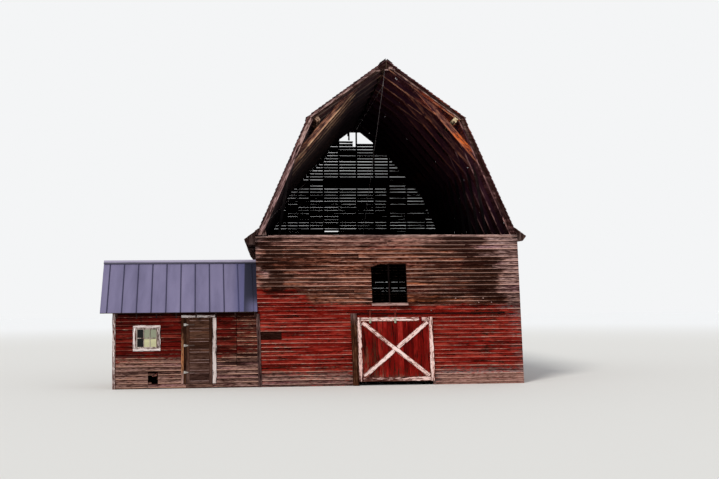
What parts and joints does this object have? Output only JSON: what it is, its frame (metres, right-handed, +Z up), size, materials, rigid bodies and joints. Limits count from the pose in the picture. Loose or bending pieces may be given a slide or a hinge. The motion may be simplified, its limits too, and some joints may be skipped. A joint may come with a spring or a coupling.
{
  "type": "gambrel barn with a side shed",
  "caption": "Weathered gambrel-roofed timber barn with an open front gable, a loft, a sliding cross-braced door and a small metal-roofed shed with a hinged door.",
  "frame": {"origin": "centre of the bounding box, at the ground", "axes": "+X to the right along the front, seen from outside; +Y from the front to the rear; +Z up"},
  "size_m": [13.7238, 12.5648, 10.5876],
  "materials": {
    "siding_red": "weathered red paint on boards",
    "timber_bare": "weathered bare timber",
    "timber_dark": "old dark timber",
    "shingles": "dark weathered wooden shingles",
    "boards_pale": "pale weathered paint",
    "iron": "dark rusty iron",
    "roof_metal": "slate purple painted sheet, satin",
    "pane": "dusty window glass"
  },
  "bodies": {
    "building": {"front_wall_left": "siding_red", "front_wall_middle": "siding_red", "front_wall_right": "siding_red", "left_wall": "siding_red", "right_wall": "siding_red", "rear_wall": "siding_red", "rear_gable": "timber_dark", "front_trim": "timber_bare", "roof_lower_left": "shingles", "roof_lower_right": "shingles", "roof_upper_left": "shingles", "roof_upper_right": "shingles", "ridge_cap": "timber_dark", "eave_flares": "shingles", "gable_trim": "boards_pale", "lower_rafters": "timber_bare", "upper_rafters": "timber_bare", "knee_braces": "timber_bare", "loft_struts": "timber_bare", "roof_purlins": "timber_bare", "loft_floor": "timber_dark", "loft_girders": "timber_dark", "loft_posts": "timber_dark", "stay_cables": "iron", "door_post": "timber_dark", "door_track": "iron", "shed_front_left": "siding_red", "shed_front_right": "siding_red", "shed_front_head": "siding_red", "shed_left_wall": "siding_red", "shed_rear_wall": "siding_red", "shed_jamb": "timber_dark", "shed_roof_front": "roof_metal", "shed_roof_rear": "roof_metal", "shed_rafters": "timber_dark", "shed_ridge_cap": "roof_metal", "shed_hinge_plates": "iron", "shed_trim": "boards_pale", "shed_window": "boards_pale", "shed_glass": "pane"},
    "sliding_door": {"door_leaf": "siding_red", "door_frame": "boards_pale", "door_hangers": "iron"},
    "shed_door_body": {"shed_door": "timber_bare", "shed_hinge_straps": "iron"}
  },
  "joints": [
    {"name": "sliding_door_run", "type": "slide", "parent": "building", "child": "sliding_door", "axis": [1, 0, 0], "range_m": [0, 2.3]},
    {"name": "shed_door_hinge", "type": "hinge", "parent": "building", "child": "shed_door_body", "pos_m": [-4.11088, -6.08863, 1.2], "axis": [0, 0, -1], "range_deg": [0, 100]}
  ]
}
